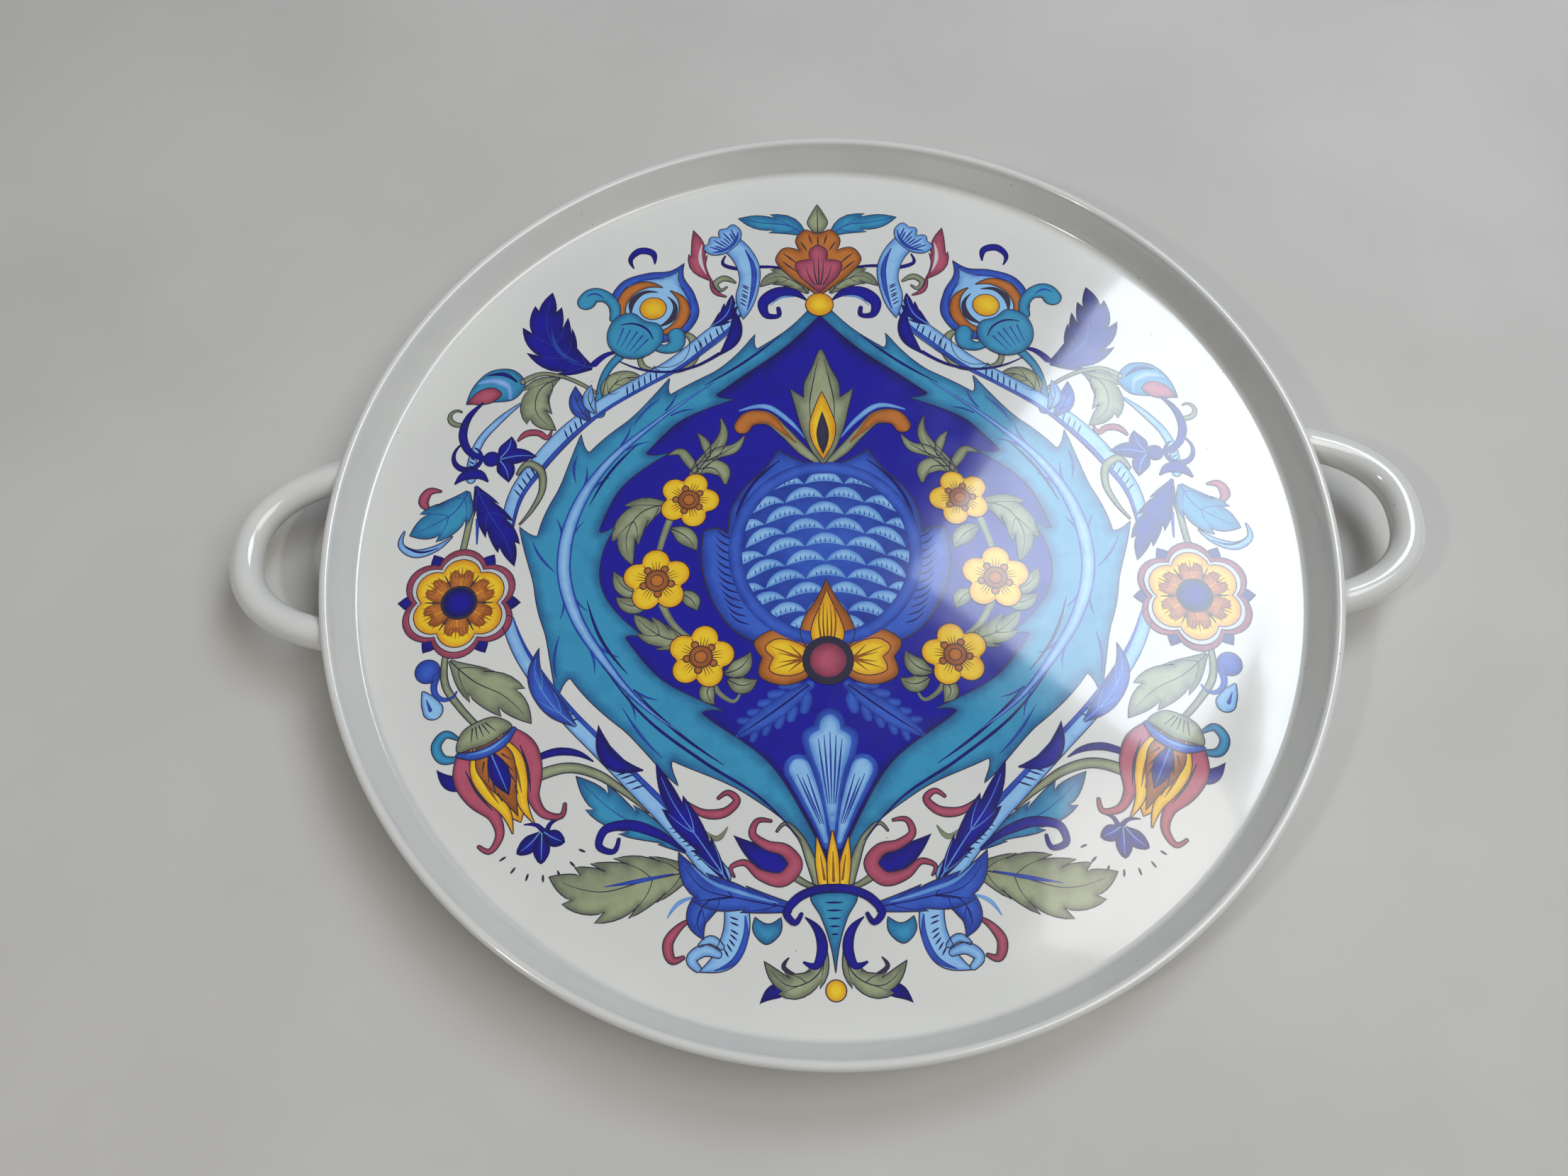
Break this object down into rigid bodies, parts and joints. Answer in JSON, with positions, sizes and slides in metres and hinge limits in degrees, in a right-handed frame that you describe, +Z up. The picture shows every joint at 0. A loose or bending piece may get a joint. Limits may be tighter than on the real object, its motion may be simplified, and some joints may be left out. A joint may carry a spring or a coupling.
{
  "type": "handled cake plate",
  "caption": "Round white porcelain serving plate with a low raised rim, loop handles at the sides, a foot ring and a floral printed centre.",
  "frame": {"origin": "centre of the foot ring's underside, on the surface that the plate stands on", "axes": "+Z up along the plate's turning axis, +X through the middle of the right handle, +Y away from the viewer"},
  "size_m": [0.3818, 0.32, 0.026],
  "materials": {
    "white_glaze": "glossy transparent glaze over white porcelain",
    "bare_clay": "unglazed, ground smooth",
    "print_enamel": "multi-colour ceramic transfer fired into the glaze"
  },
  "bodies": {
    "root": {"plate_body": "white_glaze", "foot_ring": "bare_clay", "transfer_print": "print_enamel", "handle_left": "white_glaze", "handle_right": "white_glaze", "slip_joint_left_front": "white_glaze", "slip_joint_left_back": "white_glaze", "slip_joint_right_front": "white_glaze", "slip_joint_right_back": "white_glaze"}
  },
  "joints": []
}
